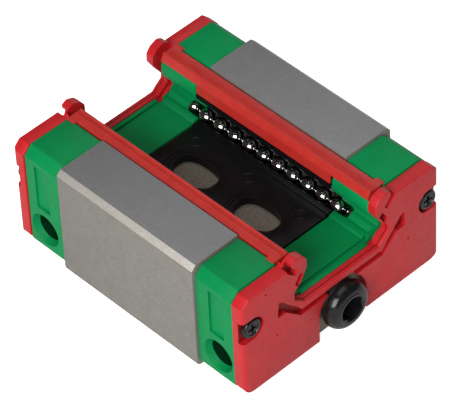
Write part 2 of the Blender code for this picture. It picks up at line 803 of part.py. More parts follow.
def build_set_screw(name):
    """Headless screw that closes the rear grease port."""
    profile = [
        (0.0, SET_SCREW_END),
        (PLUG_SHANK_RADIUS - 0.4, SET_SCREW_END),
        (PLUG_SHANK_RADIUS, SET_SCREW_END - 0.4),
        (PLUG_SHANK_RADIUS, SET_SCREW_START + 0.4),
        (PLUG_SHANK_RADIUS - 0.4, SET_SCREW_START),
        (0.0, SET_SCREW_START),
    ]
    screw = turned(name, profile, (0, 0, PORT_Z), -1)
    cut(screw, hex_cutter(name + "_socket", -SET_SCREW_END, -1))
    finish_part(screw, "black_screw", smooth=True)


# ---------------------------------------------------------------- strips and retainers in the slot

def build_bottom_seal(name, side):
    """Strip along the slot's mouth, with two fine ribs and, along the block, a band hanging down."""
    outline = [
        (11.1, 20.95),
        (9.95, 20.95),
        (9.8, 21.1),
        (9.6, 20.9),
        (9.4, 21.1),
        (8.75, 21.0),
        (8.1, 19.7),
        (8.2, 19.45),
        (10.2, 19.45),
        (11.1, 20.15),
    ]
    strip = prism_along_x(name, [flipped(outline, side)], -STRIP_HALF_LENGTH, STRIP_HALF_LENGTH)
    band = [(8.1, 19.6), (8.05, 17.8), (8.3, 17.8), (8.35, 19.6)]
    length = STRIP_BAND_HALF_LENGTH
    add(strip, prism_along_x(name + "_band", [flipped(band, side)], -length, length))
    finish_part(strip, "red_rubber")


def build_mouth_keeper(name, side):
    """Thin strip that keeps the mouth row of balls in when the carriage is off its rail."""
    outline = [(7.95, 16.85), (8.3, 16.95), (8.26, 17.3), (8.3, 17.6), (7.95, 17.6)]
    length = RETAINER_HALF_LENGTH
    keeper = prism_along_x(name, [flipped(outline, side)], -length, length)
    finish_part(keeper, "black_plastic")


def build_side_retainer(name, side):
    """Web between the two rows of one side: its concave edges keep both rows in their grooves."""
    base = (ROW_Y, BASE_ROW_Z)
    mouth = (ROW_Y, MOUTH_ROW_Z)
    outline = arc(base, RACE_RADIUS, 81.8, 31.0, 5) + arc(mouth, RACE_RADIUS, -31.0, -81.8, 5)
    length = RETAINER_HALF_LENGTH
    web = prism_along_x(name, [flipped(outline, side)], -length, length)
    finish_part(web, "black_plastic")


def opening_outline(centre_x):
    """A rounded oblong opening, between an ellipse and a rectangle."""
    points = []
    for step in range(ROUND_STEPS):
        angle = 2 * math.pi * step / ROUND_STEPS
        place = []
        for value, half in zip((math.cos(angle), math.sin(angle)), OPENING_HALF_SIZE):
            place.append(half * math.copysign(abs(value) ** (2 / OPENING_ROUNDNESS), value))
        points.append((centre_x + place[0], place[1]))
    return points


def build_retainer_plate(name):
    """Plate on the slot's floor, with a raised ridge and lip along each base row of balls."""
    half = [(0.0, 10.5)]
    half += arc((ROW_Y, BASE_ROW_Z), RACE_RADIUS, 223.0, 168.0, 5)
    half += [(8.2, 12.25), (7.15, 12.05), (6.95, 12.2), (6.7, CAP_FLOOR), (0.0, CAP_FLOOR)]
    length = RETAINER_HALF_LENGTH
    plate = prism_along_x(name, [mirrored(half)], -length, length)
    for side in (1, -1):
        cut(plate, prism_along_z("opening", [opening_outline(side * OPENING_X)], 9.0, 13.0))
    finish_part(plate, "black_plastic")


# ---------------------------------------------------------------- assembly

def build_ends():
    for end_name, end in (("front", 1), ("rear", -1)):
        build_end_cap("end_cap_" + end_name, end)
        build_end_seal("end_seal_" + end_name, end)
        build_backing_plate("seal_backing_plate_" + end_name, end)
        for side_name, side in (("left", 1), ("right", -1)):
            build_end_screw("end_screw_" + end_name + "_" + side_name, end, side)
            build_return_guide("return_guide_" + end_name + "_" + side_name, end, side)


def build_carriage():
    build_steel_block()
    build_return_tubes()
    build_balls()
    build_ends()
    build_plug_screw("front_plug_screw")
    build_plug_ring("front_plug_sealing_ring")
    build_set_screw("rear_plug_set_screw")
    build_retainer_plate("ball_retainer_plate")
    for side_name, side in (("left", 1), ("right", -1)):
        build_bottom_seal("bottom_seal_" + side_name, side)
        build_mouth_keeper("mouth_row_keeper_" + side_name, side)
        build_side_retainer("side_retainer_" + side_name, side)


build_carriage()
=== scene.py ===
"""Looks for the linear guide carriage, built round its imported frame.

X runs along the rail (+X is the front), Y across it and +Z out of the slot. Lengths are millimetres
unless a name says otherwise; meshes are made in metres. An outline is a list of (y, z) corners, and a
corner with a third number is rounded to that radius.
"""

import json
import math

import bmesh
import bpy
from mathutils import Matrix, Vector


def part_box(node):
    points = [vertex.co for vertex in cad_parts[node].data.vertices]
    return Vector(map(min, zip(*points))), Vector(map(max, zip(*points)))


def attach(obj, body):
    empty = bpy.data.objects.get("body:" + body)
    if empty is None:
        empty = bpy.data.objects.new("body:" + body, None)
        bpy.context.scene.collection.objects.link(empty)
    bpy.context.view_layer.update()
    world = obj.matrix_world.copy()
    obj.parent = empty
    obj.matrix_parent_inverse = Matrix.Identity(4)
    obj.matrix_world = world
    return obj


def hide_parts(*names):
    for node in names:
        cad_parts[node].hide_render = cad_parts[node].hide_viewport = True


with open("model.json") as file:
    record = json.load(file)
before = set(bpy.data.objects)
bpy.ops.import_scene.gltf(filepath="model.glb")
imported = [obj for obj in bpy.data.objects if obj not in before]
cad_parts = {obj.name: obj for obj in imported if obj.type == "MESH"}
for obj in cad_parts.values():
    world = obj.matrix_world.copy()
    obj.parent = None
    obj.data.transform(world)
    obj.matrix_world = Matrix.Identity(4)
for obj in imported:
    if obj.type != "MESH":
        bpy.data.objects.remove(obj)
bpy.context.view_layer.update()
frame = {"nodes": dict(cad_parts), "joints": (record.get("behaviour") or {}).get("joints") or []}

MM = 0.001
ENDS = (("front", 1), ("rear", -1))
SIDES = (("left", 1), ("right", -1))
ROWS = ("base", "mouth")


# ---------------------------------------------------------------- sizes taken from the frame

def box_mm(node):
    low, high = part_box(node)
    return low / MM, high / MM


def joint_named(name):
    for joint in frame["joints"]:
        if joint["name"] == name:
            return joint
    raise KeyError(name)


BLOCK_LOW, BLOCK_HIGH = box_mm("steel_block")
CAP_LOW, CAP_HIGH = box_mm("end_cap_front")
SEAL_LOW, SEAL_HIGH = box_mm("end_seal_front")
PLATE_HIGH = box_mm("seal_backing_plate_front")[1]
RETAINER_LOW, RETAINER_HIGH = box_mm("ball_retainer_plate")
STRIP_LOW, STRIP_HIGH = box_mm("bottom_seal_left")
SCREW_LOW, SCREW_HIGH = box_mm("end_screw_front_left")
PLUG_LOW, PLUG_HIGH = box_mm("front_plug_screw")
RING_LOW, RING_HIGH = box_mm("front_plug_sealing_ring")
SET_LOW, SET_HIGH = box_mm("rear_plug_set_screw")

SCREW_Y = (SCREW_LOW.y + SCREW_HIGH.y) / 2
SCREW_Z = (SCREW_LOW.z + SCREW_HIGH.z) / 2
PORT_Z = (PLUG_LOW.z + PLUG_HIGH.z) / 2
SLOT_EDGE = 11.4
SLOT_FLOOR = 10.3
PLATE_TOP = 11.8
BALL_RADIUS = 1.5875
BALL_PITCH = 3.2
ROW_BALLS = 10
TURN_BALLS = 3
RACE_RADIUS = 1.75


def circuit(row, side_name):
    """Load row, return row, and the centre and axis of the turn at each end, of one ball circuit."""
    name = row + "_" + side_name
    load_low, load_high = box_mm("balls_" + name + "_load")
    back_low, back_high = box_mm("balls_" + name + "_return")
    load = (load_low + load_high) / 2
    back = (back_low + back_high) / 2
    turns = {}
    for end_name, end in ENDS:
        joint = joint_named(name + "_" + end_name + "_turn_spin")
        turns[end_name] = Vector(joint["pos_m"]) / MM
        axis = Vector(joint["axis"]).normalized()
    across = axis.cross(Vector((1.0, 0.0, 0.0)))
    return load, back, turns, across


LOAD_BASE = circuit("base", "left")[0]
LOAD_MOUTH = circuit("mouth", "left")[0]
BASE_ROW = (LOAD_BASE.y, LOAD_BASE.z)
MOUTH_ROW = (LOAD_MOUTH.y, LOAD_MOUTH.z)


# ---------------------------------------------------------------- outlines

def arc(centre, radius, start, end, steps=10):
    points = []
    for step in range(steps + 1):
        angle = math.radians(start + (end - start) * step / steps)
        points.append((centre[0] + radius * math.cos(angle), centre[1] + radius * math.sin(angle)))
    return points


def mirrored(half):
    """Close a half outline, given from centre line to centre line, with its mirror image."""
    other = [(-corner[0], *corner[1:]) for corner in reversed(half) if abs(corner[0]) > 1e-6]
    return half + other


def flipped(outline, side):
    return [(side * corner[0], *corner[1:]) for corner in outline]


def rounded(corners, steps=5):
    """Replace each corner that has a radius by an arc."""
    points = []
    count = len(corners)
    for index, corner in enumerate(corners):
        here = Vector(corner[:2])
        if len(corner) < 3:
            points.append(here)
            continue
        before = (Vector(corners[index - 1][:2]) - here).normalized()
        after = (Vector(corners[(index + 1) % count][:2]) - here).normalized()
        half_angle = before.angle(after) / 2
        centre = here + (before + after).normalized() * corner[2] / math.sin(half_angle)
        reach = corner[2] / math.tan(half_angle)
        first = here + before * reach - centre
        last = here + after * reach - centre
        turn = first.angle_signed(last)
        for step in range(steps + 1):
            angle = -turn * step / steps
            x = first.x * math.cos(angle) - first.y * math.sin(angle)
            y = first.x * math.sin(angle) + first.y * math.cos(angle)
            points.append(centre + Vector((x, y)))
    return [tuple(point) for point in points]


# ---------------------------------------------------------------- meshes

def new_object(name, mesh):
    obj = bpy.data.objects.new(name, mesh)
    bpy.context.scene.collection.objects.link(obj)
    return obj


def from_bmesh(name, shape):
    bmesh.ops.recalc_face_normals(shape, faces=shape.faces)
    mesh = bpy.data.meshes.new(name)
    shape.to_mesh(mesh)
    shape.free()
    return new_object(name, mesh)


def prism(name, outline, start, end, axis="x"):
    """An outline made solid along X, from (y, z) corners, or along Z, from (x, y) corners."""
    shape = bmesh.new()
    verts = []
    for first, second in rounded(outline):
        place = (start, first, second) if axis == "x" else (first, second, start)
        verts.append(shape.verts.new(Vector(place) * MM))
    face = shape.faces.new(verts)
    moved = bmesh.ops.extrude_face_region(shape, geom=[face])["geom"]
    step = Vector((end - start, 0, 0)) if axis == "x" else Vector((0, 0, end - start))
    top = [item for item in moved if isinstance(item, bmesh.types.BMVert)]
    bmesh.ops.translate(shape, verts=top, vec=step * MM)
    return from_bmesh(name, shape)


def x_prism(name, outline, near, far, end=1):
    """A prism along X between two distances from the middle, at the front (1) or the rear (-1)."""
    low, high = sorted((end * near, end * far))
    return prism(name, outline, low, high)


def block(name, low, high):
    outline = [(low[1], low[2]), (high[1], low[2]), (high[1], high[2]), (low[1], high[2])]
    return prism(name, outline, low[0], high[0])


def rod(name, start, end, radius, end_radius=None, sides=40):
    start = Vector(start)
    end = Vector(end)
    direction = end - start
    shape = bmesh.new()
    bmesh.ops.create_cone(
        shape,
        cap_ends=True,
        segments=sides,
        radius1=radius * MM,
        radius2=(radius if end_radius is None else end_radius) * MM,
        depth=direction.length * MM,
    )
    shape.transform(direction.to_track_quat("Z", "Y").to_matrix().to_4x4())
    bmesh.ops.translate(shape, verts=shape.verts, vec=(start + end) / 2 * MM)
    return from_bmesh(name, shape)


def turned(name, profile, origin, direction, steps=64, closed=False):
    """Turn (radius, height) points round an axis through the origin, which points along direction."""
    shape = bmesh.new()
    verts = [shape.verts.new((radius * MM, 0.0, height * MM)) for radius, height in profile]
    edges = [shape.edges.new(pair) for pair in zip(verts, verts[1:])]
    if closed:
        edges.append(shape.edges.new((verts[-1], verts[0])))
    bmesh.ops.spin(
        shape, geom=verts + edges, cent=(0, 0, 0), axis=(0, 0, 1), angle=2 * math.pi,
        steps=steps, use_merge=True,
    )
    bmesh.ops.remove_doubles(shape, verts=shape.verts, dist=0.000001)
    shape.transform(Vector(direction).to_track_quat("Z", "Y").to_matrix().to_4x4())
    bmesh.ops.translate(shape, verts=shape.verts, vec=Vector(origin) * MM)
    return from_bmesh(name, shape)


def torus(name, centre, radius, thickness):
    """A ring round a vertical axis."""
    circle = arc((radius, 0.0), thickness, 0, 360, 8)[:-1]
    return turned(name, circle, centre, (0, 0, 1), 48, closed=True)


def apply_modifiers(obj):
    bpy.context.view_layer.update()
    evaluated = obj.evaluated_get(bpy.context.evaluated_depsgraph_get())
    mesh = bpy.data.meshes.new_from_object(evaluated)
    obj.modifiers.clear()
    obj.data = mesh
    return obj


SHARP_ANGLE = 60.0


def bevel(obj, width, segments=2):
    """Round every sharp edge."""
    modifier = obj.modifiers.new("soften", "BEVEL")
    modifier.width = width * MM
    modifier.segments = segments
    modifier.limit_method = "ANGLE"
    modifier.angle_limit = math.radians(SHARP_ANGLE)
    modifier.use_clamp_overlap = False
    return apply_modifiers(obj)


def close_cracks(obj):
    """Fill the hair-thin cracks that a Boolean can leave along a bevel."""
    shape = bmesh.new()
    shape.from_mesh(obj.data)
    cracks = [edge for edge in shape.edges if edge.is_boundary]
    if cracks:
        bmesh.ops.holes_fill(shape, edges=cracks, sides=0)
        shape.to_mesh(obj.data)
    shape.free()
    return obj


def combine(obj, tools, operation):
    for tool in tools:
        modifier = obj.modifiers.new("combine", "BOOLEAN")
        modifier.operation = operation
        modifier.solver = "EXACT"
        modifier.object = tool
    apply_modifiers(obj)
    for tool in tools:
        bpy.data.objects.remove(tool)
    return close_cracks(obj)


def cut(obj, *tools):
    return combine(obj, tools, "DIFFERENCE")


def add(obj, *tools):
    return combine(obj, tools, "UNION")


def smooth(obj, angle=32.0):
    for polygon in obj.data.polygons:
        polygon.use_smooth = True
    obj.data.set_sharp_from_angle(angle=math.radians(angle))
    return obj


def finish(obj, body, nodes, material):
    """Give a piece its material, and hang it on its body in place of the CAD nodes it stands for."""
    if not obj.data.materials:
        obj.data.materials.append(material)
    smooth(obj)
    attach(obj, body)
    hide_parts(*nodes)
    return obj


# ---------------------------------------------------------------- materials

class Look:
    """A Principled material with a few shader nodes, all driven by the object's own coordinates."""

    def __init__(self, name, roughness, metallic=0.0):
        self.material = bpy.data.materials.new(name)
        self.material.use_nodes = True
        self.nodes = self.material.node_tree.nodes
        self.links = self.material.node_tree.links
        self.shader = self.nodes["Principled BSDF"]
        self.shader.inputs["Roughness"].default_value = roughness
        self.shader.inputs["Metallic"].default_value = metallic
        self.place = self.nodes.new("ShaderNodeTexCoord").outputs["Object"]

    def stretched(self, x, y, z):
        mapping = self.nodes.new("ShaderNodeMapping")
        mapping.inputs["Scale"].default_value = (x, y, z)
        self.links.new(self.place, mapping.inputs["Vector"])
        return mapping.outputs["Vector"]

    def noise(self, size_mm, detail=3.0, rough=0.55, place=None):
        """Noise whose lumps are about this size."""
        node = self.nodes.new("ShaderNodeTexNoise")
        node.inputs["Scale"].default_value = 1.0 / (size_mm * MM)
        node.inputs["Detail"].default_value = detail
        node.inputs["Roughness"].default_value = rough
        self.links.new(place or self.place, node.inputs["Vector"])
        return node.outputs["Fac"]

    def ranged(self, value, low, high, start=0.3, stop=0.7):
        """Map a noise value to a range."""
        node = self.nodes.new("ShaderNodeMapRange")
        node.inputs["From Min"].default_value = start
        node.inputs["From Max"].default_value = stop
        node.inputs["To Min"].default_value = low
        node.inputs["To Max"].default_value = high
        self.links.new(value, node.inputs["Value"])
        return node.outputs["Result"]

    def mixed(self, factor, first, second):
        """Mix two colours; each is an RGB triple or a socket."""
        node = self.nodes.new("ShaderNodeMix")
        node.data_type = "RGBA"
        sockets = [node.inputs[6], node.inputs[7]]
        for socket, colour in zip(sockets, (first, second)):
            if isinstance(colour, tuple):
                socket.default_value = (*colour, 1.0)
            else:
                self.links.new(colour, socket)
        self.links.new(factor, node.inputs[0])
        return node.outputs[2]

    def colour(self, socket):
        self.links.new(socket, self.shader.inputs["Base Color"])

    def roughness(self, socket):
        self.links.new(socket, self.shader.inputs["Roughness"])

    def bump(self, height, depth_mm, before=None):
        node = self.nodes.new("ShaderNodeBump")
        node.inputs["Distance"].default_value = depth_mm * MM
        node.inputs["Strength"].default_value = 1.0
        self.links.new(height, node.inputs["Height"])
        if before is not None:
            self.links.new(before, node.inputs["Normal"])
        self.links.new(node.outputs["Normal"], self.shader.inputs["Normal"])
        return node.outputs["Normal"]


def moulded(name, colour, shade, roughness, grain_mm=0.12, grain_depth=0.004, specular=0.5):
    """Moulded plastic or rubber: cloudy colour, uneven gloss and a fine moulded grain."""
    look = Look(name, roughness)
    clouds = look.ranged(look.noise(3.5, 4.0), 0.0, 1.0)
    look.colour(look.mixed(clouds, colour, shade))
    look.roughness(look.ranged(look.noise(0.9, 3.0), roughness - 0.06, roughness + 0.08))
    soft = look.bump(look.noise(2.2, 2.0), grain_depth * 4)
    look.bump(look.noise(grain_mm, 2.0), grain_depth, soft)
    look.shader.inputs["Specular IOR Level"].default_value = specular
    return look.material


def ground_steel(name, dark, light, metallic=0.35):
    """Matt ground steel: a fine speckle over soft mottling, with very faint scratches along the rail."""
    look = Look(name, 0.6, metallic)
    scratches = look.noise(0.2, 3.0, 0.6, look.stretched(0.12, 1.0, 1.0))
    speckle = look.noise(0.22, 3.0, 0.7)
    clouds = look.noise(2.6, 4.0)
    base = look.mixed(look.ranged(speckle, 0.0, 1.0, 0.35, 0.65), dark, light)
    worn = look.mixed(look.ranged(clouds, 0.0, 0.4), base, dark)
    look.colour(look.mixed(look.ranged(scratches, 0.0, 0.15), worn, light))
    look.roughness(look.ranged(speckle, 0.5, 0.7))
    soft = look.bump(scratches, 0.001)
    look.bump(speckle, 0.003, soft)
    return look.material


def slot_steel():
    """Unground steel on the slot's floor: brown-grey with a coarse drawn grain."""
    look = Look("slot_steel_look", 0.6, 0.35)
    streaks = look.noise(0.25, 5.0, 0.65, look.stretched(0.35, 1.0, 1.0))
    grain = look.noise(0.14, 4.0, 0.7)
    base = look.mixed(look.ranged(streaks, 0.0, 1.0), (0.22, 0.185, 0.145), (0.4, 0.355, 0.3))
    look.colour(look.mixed(look.ranged(grain, 0.0, 0.6, 0.4, 0.7), base, (0.14, 0.11, 0.08)))
    look.roughness(look.ranged(grain, 0.5, 0.75))
    look.bump(streaks, 0.02)
    return look.material


def polished_ball():
    look = Look("ball_look", 0.06, 1.0)
    haze = look.noise(0.6, 3.0)
    look.colour(look.mixed(look.ranged(haze, 0.0, 1.0), (0.44, 0.43, 0.43), (0.5, 0.49, 0.49)))
    look.roughness(look.ranged(haze, 0.05, 0.1))
    return look.material


def dark_metal(name, colour, shade, roughness, metallic):
    """Oxide-black or plated metal: blotchy tone and fine pitting."""
    look = Look(name, roughness, metallic)
    clouds = look.noise(1.2, 4.0, 0.65)
    pits = look.noise(0.1, 3.0)
    look.colour(look.mixed(look.ranged(clouds, 0.0, 1.0), colour, shade))
    look.roughness(look.ranged(clouds, roughness - 0.08, roughness + 0.1))
    look.bump(pits, 0.003)
    look.shader.inputs["Specular IOR Level"].default_value = 0.32
    return look.material


STEEL = ground_steel("side_steel_look", (0.18, 0.166, 0.148), (0.3, 0.281, 0.255))
TOP_STEEL = ground_steel("top_steel_look", (0.19, 0.187, 0.189), (0.27, 0.265, 0.268))
# much lighter steel for the block's upward chamfers: a painted highlight
CHAMFER_HIGHLIGHT_STEEL = ground_steel("painted_chamfer_highlight_steel_look", (0.33, 0.305, 0.27), (0.56, 0.525, 0.48))
SLOT_STEEL = slot_steel()
BALL = polished_ball()
GREEN = moulded("green_plastic_look", (0.0, 0.215, 0.056), (0.0, 0.24, 0.07), 0.5, specular=0.16)
# near-black green: a painted shade for the insides of the side ports
PORT_SHADE_GREEN = moulded("painted_port_shade_look", (0.0, 0.02, 0.006), (0.0, 0.03, 0.009), 0.5, specular=0.1)
RED = moulded("red_rubber_look", (0.47, 0.008, 0.013), (0.53, 0.011, 0.015), 0.46, specular=0.4)
# deeper red: a painted shade for the floors of the seal's grooves, gaps and screw seats
GROOVE_SHADE_RED = moulded("painted_groove_shade_look", (0.2, 0.003, 0.005), (0.24, 0.004, 0.006), 0.5, specular=0.2)
STRIP_RED = moulded("strip_rubber_look", (0.44, 0.02, 0.016), (0.51, 0.03, 0.022), 0.4)
BLACK = moulded("black_plastic_look", (0.003, 0.003, 0.004), (0.005, 0.005, 0.006), 0.36, specular=0.3)
GUIDE = moulded("guide_plastic_look", (0.02, 0.02, 0.021), (0.03, 0.03, 0.03), 0.5)
RING_RUBBER = moulded("ring_rubber_look", (0.012, 0.012, 0.012), (0.02, 0.02, 0.02), 0.55)
SCREW_BLACK = dark_metal("black_screw_look", (0.005, 0.005, 0.006), (0.01, 0.01, 0.011), 0.2, 0.0)
PLATED = dark_metal("plated_sheet_look", (0.16, 0.135, 0.095), (0.21, 0.18, 0.13), 0.45, 0.6)


# ---------------------------------------------------------------- steel block

BLOCK_CHAMFER = 0.85
BLOCK_BASE_RADIUS = 1.0
MOUNT_HOLE_Y = 16.0
MOUNT_HOLE_DEPTH = 7.0
THREAD_RADIUS = 2.45
THREAD_CORE = 2.1
THREAD_PITCH = 0.8
THREAD_TURNS = 6
THREAD_RUNOUT = 0.6
THREAD_MOUTH_RADIUS = THREAD_RADIUS + 0.15
RETURN_BORE_RADIUS = 2.25
END_HOLE_RADIUS = 1.35
END_HOLE_START = 9.0


def block_outline():
    half = [
        (0.0, BLOCK_LOW.z),
        (BLOCK_HIGH.y, BLOCK_LOW.z, BLOCK_BASE_RADIUS),
        (BLOCK_HIGH.y, BLOCK_HIGH.z - BLOCK_CHAMFER, 0.15),
        (BLOCK_HIGH.y - BLOCK_CHAMFER, BLOCK_HIGH.z, 0.15),
        (SLOT_EDGE, BLOCK_HIGH.z),
        (SLOT_EDGE, BLOCK_HIGH.z - 1.2),
    ]
    half += arc(MOUTH_ROW, RACE_RADIUS, 75.0, 0.0)
    half += arc(BASE_ROW, RACE_RADIUS, 0.0, -126.87)
    half.append((0.0, SLOT_FLOOR))
    return mirrored(half)


def thread_cutter(side):
    """A tapped hole from below, with the thread as a stack of grooves."""
    profile = [(0.0, MOUNT_HOLE_DEPTH), (THREAD_CORE, MOUNT_HOLE_DEPTH)]
    for index in range(THREAD_TURNS):
        height = MOUNT_HOLE_DEPTH - THREAD_RUNOUT - index * THREAD_PITCH
        profile.append((THREAD_CORE, height))
        profile.append((THREAD_RADIUS, height - THREAD_PITCH / 2))
    profile += [
        (THREAD_CORE, 0.5),
        (THREAD_MOUTH_RADIUS, 0.0),
        (THREAD_MOUTH_RADIUS, -1.0),
        (0.0, -1.0),
    ]
    return turned("thread", profile, (0, side * MOUNT_HOLE_Y, 0), (0, 0, 1), 40)


def colour_block(body):
    """The slot's floor and the ground top each have a steel of their own, and the chamfers a much
    lighter one, a painted highlight.
    """
    for material in (STEEL, SLOT_STEEL, TOP_STEEL, CHAMFER_HIGHLIGHT_STEEL):
        body.data.materials.append(material)
    for polygon in body.data.polygons:
        centre = polygon.center / MM
        upward = polygon.normal.z
        on_slot_floor = abs(centre.z - SLOT_FLOOR) < 0.1 and abs(centre.y) < 9.0
        if on_slot_floor and upward > 0.9:
            polygon.material_index = 1
        elif upward > 0.95:
            polygon.material_index = 2
        # upward chamfers and edge roundings by the block's sides take the painted highlight
        elif upward > 0.3 and abs(centre.y) > BLOCK_HIGH.y - 1.5:
            polygon.material_index = 3


def build_block():
    body = prism("ground_block", block_outline(), BLOCK_LOW.x, BLOCK_HIGH.x)
    bevel(body, 0.1)
    tools = [thread_cutter(side) for _, side in SIDES]
    reach = BLOCK_HIGH.x + 1.0
    for side_name, side in SIDES:
        for row in ROWS:
            back = circuit(row, side_name)[1]
            start = (-reach, back.y, back.z)
            tools.append(rod("bore", start, (reach, back.y, back.z), RETURN_BORE_RADIUS))
        for _, end in ENDS:
            start = (end * END_HOLE_START, side * SCREW_Y, SCREW_Z)
            stop = (end * reach, side * SCREW_Y, SCREW_Z)
            tools.append(rod("end_hole", start, stop, END_HOLE_RADIUS))
    cut(body, *tools)
    colour_block(body)
    finish(body, "carriage", ["steel_block"], STEEL)


# ---------------------------------------------------------------- end caps

CAP_CHAMFER = 1.5
CAP_RIB_RADIUS = 1.35
MOUTH_RIB_RADIUS = 1.92
CAP_END = 22.6
FLOOR_EDGE = 7.2
TONGUE_HALF_WIDTH = 7.1
TONGUE_TOP = 11.75
TONGUE_BOTTOM = 10.9
FLOOR_GROOVE_HALF_WIDTH = 8.0
FLOOR_GROOVE_FLOOR = 11.3
CHANNEL_RADIUS = 1.64
CHANNEL_SIDES = 20
CHANNEL_STEPS = 16
SCREW_HOLE_RADIUS = 1.35
GREASE_PORT_START = 17.6
GREASE_PORT_RADIUS = 3.1
PORT_X = 19.2
SIDE_PORT_Z = 5.4
SIDE_PORT_MOUTH_RADIUS = 3.2
SIDE_PORT_RADIUS = 2.5
SIDE_PORT_BOTTOM_RADIUS = 2.3
SIDE_PORT_MOUTH_Y = 19.5
SIDE_PORT_BOTTOM_Y = 14.6
LABEL_X = 19.1
LABEL_LOW_Z = 9.55
LABEL_HIGH_Z = 18.25
LABEL_HALF_WIDTH = 1.5
LABEL_DEPTH = 0.5
GUIDE_POCKET_OFFSET = 3.15
GUIDE_POCKET_HALF_WIDTH = 1.45
GUIDE_POCKET_X = (14.0, 17.3)
GUIDE_POCKET_Z = (10.4, 18.0)


def cap_outline():
    half = [
        (0.0, CAP_LOW.z),
        (CAP_HIGH.y, CAP_LOW.z, 0.8),
        (CAP_HIGH.y, CAP_HIGH.z - CAP_CHAMFER, 0.25),
        (CAP_HIGH.y - CAP_CHAMFER, CAP_HIGH.z, 0.25),
        (SLOT_EDGE, CAP_HIGH.z),
        (SLOT_EDGE, 19.25),
        (8.4, 19.25),
        (8.15, 18.9),
    ]
    half += arc(MOUTH_ROW, MOUTH_RIB_RADIUS, 175.0, 262.0, 10)
    half += [(10.2, 15.5), (10.2, 13.3)]
    half += arc(BASE_ROW, CAP_RIB_RADIUS, 95.0, 160.0, 8)
    half += [
        (8.3, 12.25),
        (7.5, 12.1),
        (FLOOR_EDGE, PLATE_TOP),
        (0.0, PLATE_TOP),
    ]
    return mirrored(half)


def ball_channel(name, load_side, centre, across, end):
    """The curved path of the balls through a cap, as a tube swept round the turn."""
    radius = (centre - Vector((centre.x, load_side.y, load_side.z))).length
    outward = Vector((end, 0.0, 0.0))
    inside = outward * (BLOCK_HIGH.x - 1.0 - abs(centre.x))
    path = [(-across * radius + inside, outward)]
    for step in range(CHANNEL_STEPS + 1):
        angle = math.pi * step / CHANNEL_STEPS
        place = (outward * math.sin(angle) - across * math.cos(angle)) * radius
        along = outward * math.cos(angle) + across * math.sin(angle)
        path.append((place, along))
    path.append((across * radius + inside, -outward))
    axis = outward.cross(across)
    shape = bmesh.new()
    rings = []
    for place, along in path:
        across_ring = along.cross(axis).normalized()
        ring = []
        for index in range(CHANNEL_SIDES):
            angle = 2 * math.pi * index / CHANNEL_SIDES
            offset = (across_ring * math.cos(angle) + axis * math.sin(angle)) * CHANNEL_RADIUS
            ring.append(shape.verts.new((centre + place + offset) * MM))
        rings.append(ring)
    for first, second in zip(rings, rings[1:]):
        for index in range(CHANNEL_SIDES):
            following = (index + 1) % CHANNEL_SIDES
            shape.faces.new((first[index], first[following], second[following], second[index]))
    shape.faces.new(rings[0][::-1])
    shape.faces.new(rings[-1])
    return from_bmesh(name, shape)


COVER_START = 17.65
COVER_RADII = (1.16, 3.0)
COVER_ANGLES = {"base": (80.0, 205.0), "mouth": (120.0, 280.0)}


def channel_cover(row, end, side):
    """The part of a cap's rib that stays whole over the balls, beyond the travel of their row."""
    centre = BASE_ROW if row == "base" else MOUTH_ROW
    start, stop = COVER_ANGLES[row]
    inner, outer = COVER_RADII
    outline = arc(centre, inner, start, stop, 14) + arc(centre, outer, stop, start, 14)
    return x_prism("cover", flipped(outline, side), COVER_START, CAP_END, end)


def cap_inside_cutters(end_name, end, side_name, side):
    tools = []
    for row in ROWS:
        load, _, turns, across = circuit(row, side_name)
        channel = ball_channel("channel", load, turns[end_name], across, end)
        tools.append(cut(channel, channel_cover(row, end, side)))
    # a slanted cut ends the base rib just behind the seal
    facet = [(end * 21.6, side * 8.2), (end * 22.8, side * 8.2), (end * 22.8, side * 10.3)]
    tools.append(prism("facet", facet, 12.22, 15.9, "z"))
    return tools


def cap_side_cutters(end, side):
    outside = side * (CAP_HIGH.y + 0.5)
    middle = (LABEL_LOW_Z + LABEL_HIGH_Z) / 2
    half = (LABEL_HIGH_Z - LABEL_LOW_Z) / 2
    low_y, high_y = sorted((side * (CAP_HIGH.y - LABEL_DEPTH), outside))
    corners = [
        (end * LABEL_X - LABEL_HALF_WIDTH, low_y),
        (end * LABEL_X + LABEL_HALF_WIDTH, low_y),
        (end * LABEL_X + LABEL_HALF_WIDTH, high_y),
        (end * LABEL_X - LABEL_HALF_WIDTH, high_y),
    ]
    label = prism("label", corners, middle - half, middle + half, "z")
    bevel(label, 0.12)
    start = (end * PORT_X, outside, SIDE_PORT_Z)
    stop = (end * PORT_X, side * SIDE_PORT_MOUTH_Y, SIDE_PORT_Z)
    mouth = rod("mouth", start, stop, SIDE_PORT_MOUTH_RADIUS, SIDE_PORT_RADIUS, 56)
    stop = (end * PORT_X, side * SIDE_PORT_BOTTOM_Y, SIDE_PORT_Z)
    hole = rod("hole", start, stop, SIDE_PORT_RADIUS, SIDE_PORT_BOTTOM_RADIUS, 56)
    return [label, mouth, hole]


def paint_port_shade(cap, end):
    """The insides of the side ports get a near-black green, a painted shade."""
    cap.data.materials.append(GREEN)
    cap.data.materials.append(PORT_SHADE_GREEN)
    for polygon in cap.data.polygons:
        centre = polygon.center / MM
        reach = math.hypot(centre.x - end * PORT_X, centre.z - SIDE_PORT_Z)
        inside = SIDE_PORT_BOTTOM_Y - 0.6 < abs(centre.y) < SIDE_PORT_MOUTH_Y - 0.1
        if inside and reach < SIDE_PORT_RADIUS + 0.05:
            # faces inside a side port take the painted shade
            polygon.material_index = 1


def floor_tongue(end):
    """The slot's floor runs on as a tongue under the seal's lip."""
    corners = [
        (-TONGUE_HALF_WIDTH, TONGUE_BOTTOM),
        (TONGUE_HALF_WIDTH, TONGUE_BOTTOM),
        (TONGUE_HALF_WIDTH, TONGUE_TOP),
        (-TONGUE_HALF_WIDTH, TONGUE_TOP),
    ]
    return bevel(x_prism("tongue", corners, CAP_END - 0.4, CAP_HIGH.x, end), 0.05)


